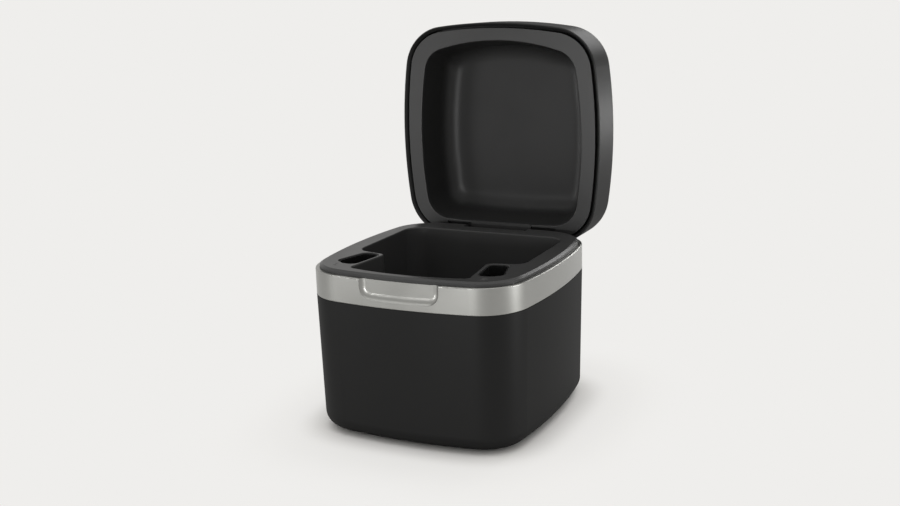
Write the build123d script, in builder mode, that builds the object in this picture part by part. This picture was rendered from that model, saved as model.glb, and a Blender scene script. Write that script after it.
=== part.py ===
from build123d import *
from math import cos, radians, sin, sqrt, tan
import os

# Desktop charger for a pair of hearing aids, in millimetres.
# X is to the right, the front faces -Y, Z is up, and the origin is the middle of the footprint on the table.
# The lid is drawn with the heights it has when shut, on planes that are then tipped back to the open stop.

# Overall form
half_width = 42.0
half_depth = 43.7
front_bow_radius = 181.5
side_bow_radius = 196.5
corner_radius = 17.3
wall_draft = 1.15
band_top = 59.3
band_height = 9.5
foot_gap = 0.8
bottom_radius = 5.5

# Walls and gaps
band_thickness = 1.4
band_edge = 0.35
assembly_gap = 0.1
lip_thickness = 1.2
lip_drop = 1.8
moving_gap = 0.3
side_gap = 0.4
pin_gap = 0.05
thread_gap = 0.05

# Thumb notch in the band
notch_half_width = 15.0
notch_height = 7.3
notch_corner = 4.5
notch_depth = 1.4
notch_slope = 0.9
notch_wall = 1.2
notch_reach = 2.4
notch_blend = 2.6

# Deck
rim_height = 1.0
deck_rise = 1.6
shoulder_width = 1.0
rim_thickness = 1.8
plate_thickness = 1.6
skirt_inset = 2.8
skirt_thickness = 1.2
skirt_depth = 5.3
rear_rim_depth = 12.7

# Storage compartment, placed from the housing's widest outline: from its side, front or rear
store_from_side = 9.2
store_from_rear = 13.5
store_from_front = 5.0
store_front_bow = 2.9
island_length = 31.5
island_apex_from_side = 22.0
island_apex_from_front = 28.8
island_front_from_side = 19.3
store_back_radius = 7.0
store_side_radius = 5.0
island_radius = 2.5
store_front_radius = 2.0
store_depth = 34.0
store_wall = 1.6
store_edge = 0.5
store_floor_radius = 1.1

# Charging wells; each corner is placed from the housing's side and front
well_corners = ((20.1, 27.5), (13.9, 28.9), (10.3, 15.8), (13.4, 13.2), (18.1, 12.6))
well_radius = 2.4
well_depth = 21.0
well_wall = 1.0
well_floor = 1.2
liner_thickness = 0.6
liner_floor = 1.0
liner_drop = 0.4
well_edge = 0.3
coil_from_side = 14.0
coil_from_front = 20.0
coil_radius = 5.0
coil_bore = 2.0
coil_height = 1.6
ferrite_radius = 4.4
ferrite_height = 0.8
mark_height = 2.8
mark_stroke = 0.45
mark_depth = 0.2
mark_proud = 0.04
left_mark_from_side = 12.0
left_mark_from_front = 9.0
right_mark_from_side = 14.8
right_mark_from_front = 7.0

# Hinge
hinge_inset = 3.8
hinge_drop = 1.9
open_angle = 90.5
towers_from_side = 21.5
barrel_from_tower = 4.5
barrel_radius = 2.1
pin_radius = 0.8
pin_tail = 0.9
pin_head_radius = 1.5
pin_head = 0.8
ring_thickness = 0.4
ring_groove = 0.2
ring_opening = 1.0
washer_thickness = 0.6
washer_radius = 1.7
ear_thickness = 1.2
ear_radius = 1.6
bracket_thickness = 1.2
bracket_drop = 6.2
bracket_front = 6.0
bracket_back = 0.8
tower_width = 6.0
tower_height = 10.0
slot_reach = 3.1
channel_front = 6.9
channel_back = 0.5
channel_drop = 4.6

# Lid
lid_gap = 1.4
lid_depth = 22.0
lid_radius = 6.0
lid_inner_radius = 4.6
lid_rim = 1.35
rim_slope_width = 0.95
rim_slope_depth = 1.2
lid_top_wall = 1.8
lid_edge = 0.35
frame_recess = 0.5
groove_width = 0.75
groove_depth = 4.8
frame_thickness = 1.5
frame_skirt = 1.0
flange_height = 1.2
recess_from_side = 7.7
recess_from_front = 6.9
recess_from_rear = 8.0
recess_side_bow = 3.3
recess_front_bow = 5.7
recess_rear_bow = 1.0
recess_radius = 10.0
recess_clearance = 0.5
recess_draft = 9.5
recess_floor_radius = 5.5
recess_wall = 1.2
recess_edge = 0.35
block_pocket_margin = 10.5
block_pocket_front = 3.8
block_pocket_depth = 1.5
block_front = 4.6
block_back = 1.3
neck_front = 1.8
neck_back = 0.6
block_pad = 1.7
block_screw_from_end = 4.0
block_screw_front = 0.7

# Bottom
bottom_plate_inset = 9.0
bottom_plate_thickness = 3.2
seat_width = 3.0
floor_thickness = 2.0
pad_inset = 11.0
pad_thickness = 1.6
boss_radius = 3.2
boss_height = 8.0
boss_reach = 5.0

# Packages: inward from a post, towards the board's middle, width, length, height
front_package = (4.5, 3.5, 4.0, 4.0, 0.8)
rear_packages = ((9.5, 7.0, 5.0, 4.0, 1.0), (9.5, 7.0, 3.0, 6.0, 1.4))

# Screws: shank radius, shank length, head radius, head height
bottom_screw = (1.1, 7.0, 2.0, 1.2)
board_screw = (0.95, 4.5, 1.8, 1.1)
bracket_screw = (1.0, 6.0, 1.8, 1.2)
block_screw = (0.6, 4.0, 1.0, 0.8)

# Board and what is on it
board_from_side = 19.5
board_from_front = 17.7
board_from_rear = 5.7
board_corner = 1.0
board_thickness = 1.6
post_height = 6.0
post_radius = 2.6
post_from_side = 4.0
post_from_front = 8.5
post_from_rear = 11.0
socket_width = 8.94
socket_height = 3.26
socket_length = 7.3
socket_recess = 0.35
socket_shell = 0.3
socket_gap = 0.15
socket_back = 1.0
tongue_width = 6.7
tongue_height = 0.7
lead_offset = 4.75
lead_width = 3.0
lead_thickness = 0.2
lead_bend = 3.0
lead_height = 1.0
lead_grip = 1.8
connector_inset = 3.5
connector_length = 3.0
connector_width = 5.0
connector_height = 2.0
controller = (0.0, 2.0, 7.0, 7.0, 0.9)
inductor_from_post = (6.5, 19.0)
inductor_radius = 2.6
inductor_height = 2.4

# Magnets
magnet_from_side = 5.4
magnet_y = -2.0
magnet_width = 2.2
magnet_length = 12.0
magnet_height = 3.0
cradle_wall = 1.0

# Heights and places that follow from the sizes above
band_bottom = band_top - band_height
lip_inset = band_thickness + assembly_gap
shell_wall = lip_inset + lip_thickness
lip_top = band_top - lip_drop
rim_top = band_top + rim_height
deck_top = band_top + deck_rise
plate_bottom = deck_top - plate_thickness
store_half_width = half_width - store_from_side
store_back = half_depth - store_from_rear
store_front = half_depth - store_from_front
store_front_side = store_front - store_front_bow
island_back = half_depth - island_length
island_apex_x = half_width - island_apex_from_side
island_apex_y = half_depth - island_apex_from_front
island_front_x = half_width - island_front_from_side
coil_x = half_width - coil_from_side
coil_y = coil_from_front - half_depth
magnet_x = half_width - magnet_from_side
rear_rim_front = half_depth - rear_rim_depth
tower_x = half_width - towers_from_side
hinge_bay = tower_x - tower_width / 2
bracket_half_length = tower_x + tower_width / 2
barrel_half_length = hinge_bay - barrel_from_tower
block_pocket_half = barrel_half_length + block_pocket_margin
block_screw_x = barrel_half_length - block_screw_from_end
hinge_y = half_depth - hinge_inset
hinge_z = band_top - hinge_drop
lid_seat = band_top + lid_gap
lid_top = lid_seat + lid_depth
frame_face = lid_seat + frame_recess
frame_inset = lid_rim + groove_width
recess_half_width = half_width - recess_from_side
recess_front = half_depth - recess_from_front
recess_back = half_depth - recess_from_rear
recess_corner_x = recess_half_width - recess_side_bow
recess_depth = lid_depth - frame_recess - lid_top_wall - recess_wall - recess_clearance
pocket_floor = frame_face + block_pocket_depth
floor_bottom = foot_gap + bottom_plate_thickness
floor_top = floor_bottom + floor_thickness
board_bottom = floor_bottom + post_height
board_top = board_bottom + board_thickness
board_half_width = half_width - board_from_side
board_front = board_from_front - half_depth
board_back = half_depth - board_from_rear
post_x = board_half_width - post_from_side
post_front = board_front + post_from_front
post_back = board_back - post_from_rear
inductor_x = post_x - inductor_from_post[0]
inductor_y = post_back - inductor_from_post[1]
connector_x = board_half_width - connector_inset
store_floor = deck_top - store_depth
well_cup_floor = deck_top - well_depth - liner_floor
well_bottom = well_cup_floor - well_floor
coil_bottom = well_bottom - coil_height
slot_half_width = barrel_half_length + side_gap
ear_x = barrel_half_length + moving_gap + washer_thickness
ear_outside = ear_x + ear_thickness
groove_start = ear_outside + thread_gap
pin_end = groove_start + ring_thickness + pin_tail
sweep_radius = deck_top - hinge_z
bracket_top = hinge_z - bracket_drop
bracket_bottom = bracket_top - bracket_thickness
lid_reach = lid_seat - hinge_z - moving_gap
lid_drop = hinge_inset + moving_gap
window_floor = hinge_z - lid_drop
screw_y = hinge_y - (bracket_front + bracket_back) / 2
hinge = Plane((0, hinge_y, hinge_z)).rotated((-open_angle, 0, 0))
lid_axis = Axis(hinge.origin, hinge.z_dir)

# The rear right corner's centre is where a tangent corner arc meets both bowed sides.
front_centre = Vector(0, half_depth - front_bow_radius)
side_centre = Vector(half_width - side_bow_radius, 0)
centre_gap = side_centre - front_centre
front_reach = front_bow_radius - corner_radius
side_reach = side_bow_radius - corner_radius
along = (front_reach**2 - side_reach**2 + centre_gap.length**2) / (2 * centre_gap.length)
across = sqrt(front_reach**2 - along**2)
corner = (
    front_centre
    + centre_gap.normalized() * along
    + Vector(centre_gap.Y, -centre_gap.X).normalized() * across
)
boss_x = corner.X + boss_reach / sqrt(2)
boss_y = corner.Y + boss_reach / sqrt(2)
sides = (1, -1)
boss_places = [(x * boss_x, y * boss_y) for x in sides for y in sides]
post_places = [(x * post_x, y) for x in sides for y in (post_front, post_back)]
packages = [controller]
for x, rear_package in zip(sides, rear_packages):
    inward, forward, *package_size = front_package
    packages.append((x * (post_x - inward), post_front + forward, *package_size))
    inward, forward, *package_size = rear_package
    packages.append((x * (post_x - inward), post_back - forward, *package_size))


def bowed_outline(inset=0.0):
    """Four bowed sides and four round corners, `inset` inside the widest outline."""
    front = front_centre + (corner - front_centre).normalized() * (front_bow_radius - inset)
    side = side_centre + (corner - side_centre).normalized() * (side_bow_radius - inset)
    middle = corner + Vector(1, 1).normalized() * (corner_radius - inset)
    with BuildSketch() as outline:
        with BuildLine():
            for x in sides:
                for y in sides:
                    ThreePointArc(
                        (x * front.X, y * front.Y),
                        (x * middle.X, y * middle.Y),
                        (x * side.X, y * side.Y),
                    )
                ThreePointArc((x * side.X, -side.Y), (x * (half_width - inset), 0), (x * side.X, side.Y))
                ThreePointArc((-front.X, x * front.Y), (0, x * (half_depth - inset)), (front.X, x * front.Y))
        make_face()
    return outline.sketch_local


def bowed_ring(outer, inner):
    """Ring between two insets of the outline."""
    with BuildSketch() as ring:
        add(bowed_outline(outer))
        add(bowed_outline(inner), mode=Mode.SUBTRACT)
    return ring.sketch_local


def bow_at(x):
    """How far the front and rear sides have come in at a distance from the middle."""
    return front_bow_radius - sqrt(front_bow_radius**2 - x**2)


def draft_at(height):
    """How far the drafted wall has come in at a height below the band."""
    return (band_bottom - height) * tan(radians(wall_draft))


def drafted_block(inset, bottom, top):
    """Block with the housing's draft, `inset` inside its walls."""
    with BuildPart() as block:
        for height in (bottom, top):
            with BuildSketch(Plane.XY.offset(height)):
                add(bowed_outline(inset + draft_at(height)))
        loft(ruled=True)
    return block.part


def bar(x_range, y_range, z_range):
    """Square block between the given limits."""
    with BuildPart() as block:
        with BuildSketch(Plane.XY.offset(z_range[0])):
            with Locations((sum(x_range) / 2, sum(y_range) / 2)):
                Rectangle(x_range[1] - x_range[0], y_range[1] - y_range[0])
        extrude(amount=z_range[1] - z_range[0])
    return block.part


def lid_plane(height, x=0.0, y=0.0):
    """Plane across the lid, at a height above the table and a place that hold when the lid is shut."""
    return Plane(hinge.location * Location((x, y - hinge_y, height - hinge_z)))


def axis_plane(x):
    """Plane square to the hinge axis, with its origin on the axis."""
    return Plane((x, hinge_y, hinge_z), x_dir=(0, 1, 0), z_dir=(1, 0, 0))


def storage_outline(grow=0.0):
    """Mouth of the storage compartment, which goes round the two islands that hold the wells."""
    with BuildSketch() as mouth:
        with BuildLine():
            side = Polyline(
                (0, store_back),
                (store_half_width, store_back),
                (store_half_width, -island_back),
                (island_apex_x, -island_apex_y),
                (island_front_x, -store_front_side),
            )
            mirror(side, about=Plane.YZ)
            ThreePointArc(
                (-island_front_x, -store_front_side), (0, -store_front), (island_front_x, -store_front_side)
            )
        make_face()
        rows = mouth.vertices().group_by(Axis.Y)
        fillet(rows[0], store_front_radius)
        rows = mouth.vertices().group_by(Axis.Y)
        fillet(rows[-1].filter_by(lambda corner_point: abs(corner_point.X) > 1), store_back_radius)
        fillet(mouth.vertices().filter_by(lambda v: abs(v.Y + island_back) < 0.01), store_side_radius)
        fillet(mouth.vertices().filter_by(lambda v: abs(v.Y + island_apex_y) < 0.01), island_radius)
        if grow:
            offset(amount=grow)
    return mouth.sketch_local


def well_outline(grow=0.0):
    """Mouth of the right charging well."""
    with BuildSketch() as mouth:
        with BuildLine():
            Polyline(*[(half_width - x, y - half_depth) for x, y in well_corners], close=True)
        make_face()
        fillet(mouth.vertices(), well_radius)
        if grow:
            offset(amount=grow)
    return mouth.sketch_local


def well_prism(grow, bottom, top):
    """Upright prism on the right well's mouth, `grow` larger all round."""
    with BuildPart() as prism:
        with BuildSketch(Plane.XY.offset(bottom)):
            add(well_outline(grow))
        extrude(amount=top - bottom)
    return prism.part


def storage_form(grow, bottom):
    """The storage compartment's drafted prism, `grow` larger than its mouth, down to a height."""
    with BuildPart() as form:
        with BuildSketch(Plane.XY.offset(deck_top)):
            add(storage_outline(grow))
        with BuildSketch(Plane.XY.offset(bottom)):
            add(storage_outline(grow - (deck_top - bottom) * tan(radians(wall_draft))))
        loft(ruled=True)
    return form.part


def recess_outline(grow=0.0):
    """Mouth of the lid's recess: bowed most at the front, nearly straight at the hinge."""
    edge = recess_corner_x
    front = recess_front_bow - recess_front
    back = recess_back - recess_rear_bow
    with BuildSketch() as mouth:
        with BuildLine():
            for x in sides:
                ThreePointArc((x * edge, front), (x * recess_half_width, 0), (x * edge, back))
            ThreePointArc((-edge, front), (0, -recess_front), (edge, front))
            ThreePointArc((-edge, back), (0, recess_back), (edge, back))
        make_face()
        fillet(mouth.vertices(), recess_radius)
        if grow:
            offset(amount=grow)
    return mouth.sketch_local


def recess_form(grow):
    """Drafted bowl with a rounded floor, `grow` larger than the lid's recess."""
    height = recess_depth + grow
    with BuildPart() as bowl:
        with BuildSketch(lid_plane(frame_face)):
            add(recess_outline(grow))
        with BuildSketch(lid_plane(frame_face + height)):
            add(recess_outline(grow - height * tan(radians(recess_draft))))
        loft(ruled=True)
        fillet(bowl.edges().group_by(lid_axis)[-1], recess_floor_radius + grow)
    return bowl.part


def lid_sweep():
    """Space behind the hinge that the lid's rear edge passes through, as a bar along the hinge."""
    far = half_depth
    with BuildPart() as sweep:
        with BuildSketch(axis_plane(-half_width)):
            with BuildLine():
                start_z = -sqrt(sweep_radius**2 - lid_reach**2)
                ThreePointArc(
                    (lid_reach, start_z),
                    (sweep_radius * cos(radians(45)), sweep_radius * sin(radians(45))),
                    (0, sweep_radius),
                )
                Polyline(
                    (0, sweep_radius), (0, far), (far, far), (far, -lid_drop), (lid_reach, -lid_drop),
                    (lid_reach, start_z),
                )
            make_face()
        extrude(amount=2 * half_width)
    return sweep.part


def hinge_channel():
    """Trough under the deck that the hinge barrel turns in."""
    half_length = slot_half_width + moving_gap
    with BuildPart() as channel:
        with BuildSketch(axis_plane(-half_length)):
            with Locations((-channel_front, -channel_drop)):
                Rectangle(
                    channel_front + channel_back,
                    channel_drop + plate_bottom - hinge_z,
                    align=Align.MIN,
                )
            Circle(sweep_radius, mode=Mode.SUBTRACT)
        extrude(amount=2 * half_length)
    return channel.part


def side_letters():
    """An L in front of the left well and an R in front of the right one."""
    letter_width = mark_height * 0.6
    bowl_radius = mark_height * 0.3
    left = half_width - right_mark_from_side
    front = right_mark_from_front - half_depth
    left_mark_place = (left_mark_from_side - half_width, left_mark_from_front - half_depth)
    waist = front + mark_height - 2 * bowl_radius + mark_stroke / 2
    with BuildSketch() as letters:
        with Locations(left_mark_place):
            Rectangle(mark_stroke, mark_height, align=Align.MIN)
            Rectangle(letter_width, mark_stroke, align=Align.MIN)
        with Locations((left + letter_width - bowl_radius, front + mark_height - bowl_radius)):
            Circle(bowl_radius)
            Circle(bowl_radius - mark_stroke, mode=Mode.SUBTRACT)
        with Locations((left, front)):
            Rectangle(mark_stroke, mark_height, align=Align.MIN)
        with BuildLine():
            Polyline(
                (left + mark_stroke, waist),
                (left + 2 * mark_stroke, waist),
                (left + letter_width, front),
                (left + letter_width - mark_stroke, front),
                close=True,
            )
        make_face()
    return letters.sketch_local


def notch_outline(shrink):
    """Thumb notch seen from the front, open above the band, with round lower corners."""
    half = notch_half_width + bow_at(notch_half_width) * notch_slope / notch_depth - shrink
    bottom = band_top - notch_height + shrink
    with BuildSketch() as notch:
        with Locations((0, bottom)):
            Rectangle(2 * half, notch_height + 2 * notch_slope, align=(Align.CENTER, Align.MIN))
        fillet(notch.vertices().group_by(Axis.Y)[0], notch_corner - shrink)
    return notch.sketch_local


def notch_form():
    """Thumb notch with sloping walls and a floor that follows the band's bow."""
    with BuildPart() as notch:
        with BuildSketch(Plane.XZ.offset(half_depth)):
            add(notch_outline(0))
        with BuildSketch(Plane.XZ.offset(half_depth - notch_reach)):
            add(notch_outline(notch_reach * notch_slope / notch_depth))
        loft(ruled=True)
        with BuildSketch(Plane.XY.offset(band_bottom)):
            add(bowed_outline(notch_depth))
        extrude(amount=half_depth, mode=Mode.SUBTRACT)
        floor = notch.faces().filter_by(GeomType.CYLINDER).sort_by(Axis.Y)[-1]
        walls = floor.edges().filter_by(lambda edge: edge.center().Z < band_top)
        fillet(walls, notch_blend)
    return notch.part


def screws(size, places):
    """Round-head screws; each place is a plane on the head's seat that points the way the shank goes."""
    shank, length, head, head_height = size
    with BuildPart() as group:
        for place in places:
            with BuildSketch(place):
                Circle(shank)
            extrude(amount=length)
            with BuildSketch(place):
                Circle(head)
            extrude(amount=-head_height)
            with BuildSketch(place.offset(-head_height)):
                RegularPolygon(head / 2, 6)
            extrude(amount=head_height / 2, mode=Mode.SUBTRACT)
    return group.part


def magnet_bars(plane, grow=0.0):
    """A bar magnet on each side, or with `grow` the pockets that hold them."""
    with BuildPart() as bars:
        with BuildSketch(plane):
            with Locations(*[(x * magnet_x, magnet_y) for x in sides]):
                Rectangle(magnet_width + 2 * grow, magnet_length + 2 * grow)
        extrude(amount=magnet_height)
    return bars.part


def cradles(plane):
    """Walls across the ends of the magnets."""
    with BuildPart() as walls:
        with BuildSketch(plane):
            for x in sides:
                for y in sides:
                    step = (magnet_length + cradle_wall) / 2 + assembly_gap
                    with Locations((x * magnet_x, magnet_y + y * step)):
                        Rectangle(magnet_width + cradle_wall, cradle_wall)
        extrude(amount=magnet_height)
    return walls.part


os.makedirs("parts", exist_ok=True)

# Housing: drafted cup with a rounded bottom edge, and a lip that the band and the deck sit on
with BuildPart() as base_shell:
    add(drafted_block(0, foot_gap, band_bottom))
    fillet(base_shell.edges().group_by(Axis.Z)[0], bottom_radius)
    with BuildSketch(Plane.XY.offset(band_bottom)):
        add(bowed_outline(lip_inset))
    extrude(amount=lip_top - band_bottom)
    add(drafted_block(shell_wall, floor_top, band_bottom), mode=Mode.SUBTRACT)
    with BuildSketch(Plane.XY.offset(band_bottom)):
        add(bowed_outline(shell_wall))
    extrude(amount=lip_top - band_bottom, mode=Mode.SUBTRACT)
    with BuildSketch(Plane.XY.offset(foot_gap)):
        add(bowed_outline(bottom_plate_inset))
    extrude(amount=bottom_plate_thickness, mode=Mode.SUBTRACT)
    with BuildSketch(Plane.XY.offset(floor_bottom)):
        add(bowed_outline(bottom_plate_inset + seat_width))
    extrude(amount=floor_thickness, mode=Mode.SUBTRACT)
    with BuildSketch(Plane.XY.offset(floor_bottom)):
        with Locations(*boss_places):
            Circle(boss_radius)
    extrude(amount=boss_height)
    with BuildSketch(Plane.XY.offset(floor_bottom)):
        with Locations(*boss_places):
            Circle(bottom_screw[0] + thread_gap)
    extrude(amount=boss_height - floor_thickness / 2, mode=Mode.SUBTRACT)
    # Gusseted towers on the rear wall carry the hinge bracket.
    tower_front = hinge_y - bracket_front
    tower_back = half_depth - bow_at(tower_x) - shell_wall + lip_thickness / 2
    for x in sides:
        with BuildSketch(Plane.YZ.offset(x * tower_x - tower_width / 2)):
            with BuildLine():
                Polyline(
                    (tower_front, bracket_bottom),
                    (tower_back, bracket_bottom),
                    (tower_back, bracket_bottom - tower_height - bracket_front),
                    (tower_front, bracket_bottom - tower_height),
                    close=True,
                )
            make_face()
        extrude(amount=tower_width)
        with BuildSketch(Plane.XY.offset(bracket_bottom)):
            with Locations((x * tower_x, screw_y)):
                Circle(bracket_screw[0] + thread_gap)
        extrude(amount=-bracket_screw[1], mode=Mode.SUBTRACT)
    # The lip is open where the band's notch stands in and where the hinge passes.
    notch_zone = notch_half_width + notch_slope + side_gap
    notch_floor = band_top - notch_height - notch_wall
    add(
        bar((-notch_zone, notch_zone), (-half_depth, -corner.Y), (notch_floor - assembly_gap, band_top)),
        mode=Mode.SUBTRACT,
    )
    add(bar((-hinge_bay, hinge_bay), (corner.Y, half_depth), (window_floor, band_top)), mode=Mode.SUBTRACT)
    # Opening for the power socket
    with BuildSketch(Plane.XZ.offset(-half_depth)):
        with Locations((0, board_top + socket_height / 2)):
            SlotOverall(socket_width + 2 * socket_gap, socket_height + 2 * socket_gap)
    extrude(amount=half_depth - corner.Y, mode=Mode.SUBTRACT)
base_shell.part.label = "base_shell"
export_step(base_shell.part, "parts/base_shell.step")

# Plate that closes the housing from below, with the board's posts
with BuildPart() as bottom_plate:
    with BuildSketch(Plane.XY.offset(foot_gap)):
        add(bowed_outline(bottom_plate_inset + assembly_gap))
    extrude(amount=bottom_plate_thickness)
    with BuildSketch(Plane.XY.offset(foot_gap)):
        add(bowed_outline(pad_inset - assembly_gap))
    extrude(amount=pad_thickness - foot_gap, mode=Mode.SUBTRACT)
    with BuildSketch(Plane.XY.offset(floor_bottom)):
        with Locations(*post_places):
            Circle(post_radius)
    extrude(amount=post_height)
    with BuildSketch(Plane.XY.offset(board_bottom)):
        with Locations(*post_places):
            Circle(board_screw[0] + thread_gap)
    extrude(amount=-board_screw[1], mode=Mode.SUBTRACT)
    head_seat = pad_thickness + bottom_screw[3] + assembly_gap
    with BuildSketch(Plane.XY.offset(foot_gap)):
        with Locations(*boss_places):
            Circle(bottom_screw[2] + assembly_gap)
    extrude(amount=head_seat - foot_gap, mode=Mode.SUBTRACT)
    with BuildSketch(Plane.XY.offset(foot_gap)):
        with Locations(*boss_places):
            Circle(bottom_screw[0] + assembly_gap)
    extrude(amount=bottom_plate_thickness, mode=Mode.SUBTRACT)
bottom_plate.part.label = "bottom_plate"
export_step(bottom_plate.part, "parts/bottom_plate.step")

# Soft foot under the whole bottom plate
with BuildPart() as base_pad:
    with BuildSketch():
        add(bowed_outline(pad_inset))
    extrude(amount=pad_thickness)
base_pad.part.label = "base_pad"
export_step(base_pad.part, "parts/base_pad.step")

with BuildPart() as bottom_screws:
    add(screws(bottom_screw, [Plane.XY.offset(head_seat).move(Location((x, y, 0))) for x, y in boss_places]))
bottom_screws.part.label = "bottom_screws"
export_step(bottom_screws.part, "parts/bottom_screws.step")

# Silver band round the top, with the thumb notch and the cut-outs for the hinge
with BuildPart() as trim_band:
    with BuildSketch(Plane.XY.offset(band_bottom)):
        add(bowed_ring(0, band_thickness))
    extrude(amount=band_height)
    for end in (0, -1):
        fillet(trim_band.faces().sort_by(Axis.Z)[end].outer_wire().edges(), band_edge)
    with BuildSketch(Plane.XY.offset(notch_floor)):
        add(bowed_ring(band_thickness, band_thickness + notch_wall))
        with Locations((0, -half_depth)):
            Rectangle(2 * (notch_half_width + notch_slope), half_depth, mode=Mode.INTERSECT)
    extrude(amount=notch_height + notch_wall - assembly_gap)
    add(notch_form(), mode=Mode.SUBTRACT)
    add(
        bar((-slot_half_width, slot_half_width), (corner.Y, half_depth), (window_floor, band_top)),
        mode=Mode.SUBTRACT,
    )
    add(lid_sweep(), mode=Mode.SUBTRACT)
    # Relief behind the washers and the ends of the pin
    relief = washer_radius + moving_gap
    add(
        bar(
            (-pin_end - assembly_gap, pin_end + assembly_gap),
            (hinge_y, hinge_y + relief),
            (hinge_z - relief, band_top),
        ),
        mode=Mode.SUBTRACT,
    )
trim_band.part.label = "trim_band"
export_step(trim_band.part, "parts/trim_band.step")

# Deck: one moulding with the rim, the storage compartment, the two well cups and the hinge channel
with BuildPart() as deck:
    with BuildSketch(Plane.XY.offset(lip_top)):
        add(bowed_ring(lip_inset, lip_inset + rim_thickness))
    extrude(amount=plate_bottom - lip_top)
    with BuildSketch(Plane.XY.offset(plate_bottom - skirt_depth)):
        add(bowed_ring(skirt_inset, skirt_inset + skirt_thickness))
    extrude(amount=skirt_depth)
    # The rim stands back from the notch's wall and from the hinge ears.
    with BuildSketch(Plane.XY.offset(lip_top)):
        add(bowed_ring(0, skirt_inset))
        with Locations((0, -half_depth)):
            Rectangle(2 * notch_zone, half_depth, mode=Mode.INTERSECT)
    extrude(amount=plate_bottom - lip_top, mode=Mode.SUBTRACT)
    add(
        bar(
            (-hinge_bay, hinge_bay),
            (rear_rim_front, half_depth),
            (plate_bottom - skirt_depth, plate_bottom),
        ),
        mode=Mode.SUBTRACT,
    )
    with BuildSketch(Plane.XY.offset(plate_bottom)):
        add(bowed_outline(lip_inset))
    extrude(amount=rim_top - plate_bottom)
    for height, inset in ((rim_top, lip_inset), (deck_top, lip_inset + shoulder_width)):
        with BuildSketch(Plane.XY.offset(height)):
            add(bowed_outline(inset))
    loft(ruled=True)
    add(storage_form(store_wall, store_floor - store_wall))
    for x in sides:
        cup = well_prism(liner_thickness + well_wall, well_bottom, deck_top)
        add(cup if x > 0 else cup.mirror(Plane.YZ))
    add(cradles(Plane.XY.offset(plate_bottom - magnet_height)))
    add(hinge_channel())
    add(
        bar(
            (-slot_half_width, slot_half_width),
            (hinge_y - slot_reach, half_depth),
            (plate_bottom, deck_top),
        ),
        mode=Mode.SUBTRACT,
    )
    add(lid_sweep(), mode=Mode.SUBTRACT)
    hollow = storage_form(0, store_floor)
    hollow = hollow.fillet(store_floor_radius, hollow.edges().group_by(Axis.Z)[0])
    add(hollow, mode=Mode.SUBTRACT)
    for x in sides:
        cup = well_prism(liner_thickness, well_cup_floor, deck_top)
        add(cup if x > 0 else cup.mirror(Plane.YZ), mode=Mode.SUBTRACT)
    mouths = deck.faces().filter_by(Axis.Z).sort_by(Axis.Z)[-1].inner_wires().sort_by(SortBy.LENGTH)
    fillet(mouths[-1].edges(), store_edge)
    mouths = deck.faces().filter_by(Axis.Z).sort_by(Axis.Z)[-1].inner_wires().sort_by(SortBy.LENGTH)
    for mouth in mouths[:2]:
        fillet(mouth.edges(), well_edge)
    with BuildSketch(Plane.XY.offset(deck_top)):
        add(side_letters())
    extrude(amount=-mark_depth, mode=Mode.SUBTRACT)
deck.part.label = "deck"
export_step(deck.part, "parts/deck.step")

# Pair of cups that line the wells, and what charges through their floors
with BuildPart() as right_well_liner:
    add(well_prism(liner_thickness - thread_gap, well_cup_floor, deck_top - liner_drop))
    add(well_prism(0, well_cup_floor + liner_floor, deck_top - liner_drop), mode=Mode.SUBTRACT)
right_well_liner.part.label = "right_well_liner"
export_step(right_well_liner.part, "parts/right_well_liner.step")

with BuildPart() as left_well_liner:
    mirror(right_well_liner.part, about=Plane.YZ)
left_well_liner.part.label = "left_well_liner"
export_step(left_well_liner.part, "parts/left_well_liner.step")

with BuildPart() as right_coil:
    with BuildSketch(Plane.XY.offset(coil_bottom)):
        with Locations((coil_x, coil_y)):
            Circle(coil_radius)
            Circle(coil_bore, mode=Mode.SUBTRACT)
    extrude(amount=coil_height)
right_coil.part.label = "right_coil"
export_step(right_coil.part, "parts/right_coil.step")

with BuildPart() as left_coil:
    mirror(right_coil.part, about=Plane.YZ)
left_coil.part.label = "left_coil"
export_step(left_coil.part, "parts/left_coil.step")

with BuildPart() as right_ferrite:
    with BuildSketch(Plane.XY.offset(coil_bottom)):
        with Locations((coil_x, coil_y)):
            Circle(ferrite_radius)
    extrude(amount=-ferrite_height)
right_ferrite.part.label = "right_ferrite"
export_step(right_ferrite.part, "parts/right_ferrite.step")

with BuildPart() as left_ferrite:
    mirror(right_ferrite.part, about=Plane.YZ)
left_ferrite.part.label = "left_ferrite"
export_step(left_ferrite.part, "parts/left_ferrite.step")

# Flat lead from the coil down to the board: straight, one bend, straight into its connector
lead_x = coil_x + lead_offset
lead_z = board_top + lead_height
lead_half = lead_thickness / 2
with BuildPart() as right_flex_lead:
    with BuildSketch(Plane.XZ.offset(-coil_y - lead_width / 2)):
        with BuildLine():
            bend_x = lead_x - lead_bend
            bend_z = lead_z + lead_bend
            for reach in (lead_bend - lead_half, lead_bend + lead_half):
                Line((bend_x + reach, coil_bottom), (bend_x + reach, bend_z))
                ThreePointArc(
                    (bend_x + reach, bend_z),
                    (bend_x + reach * sin(radians(45)), bend_z - reach * cos(radians(45))),
                    (bend_x, bend_z - reach),
                )
                Line((bend_x, bend_z - reach), (connector_x + connector_length - lead_grip, bend_z - reach))
            Line((lead_x - lead_half, coil_bottom), (lead_x + lead_half, coil_bottom))
            end_x = connector_x + connector_length - lead_grip
            Line((end_x, lead_z - lead_half), (end_x, lead_z + lead_half))
        make_face()
    extrude(amount=lead_width)
right_flex_lead.part.label = "right_flex_lead"
export_step(right_flex_lead.part, "parts/right_flex_lead.step")

with BuildPart() as left_flex_lead:
    mirror(right_flex_lead.part, about=Plane.YZ)
left_flex_lead.part.label = "left_flex_lead"
export_step(left_flex_lead.part, "parts/left_flex_lead.step")

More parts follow.
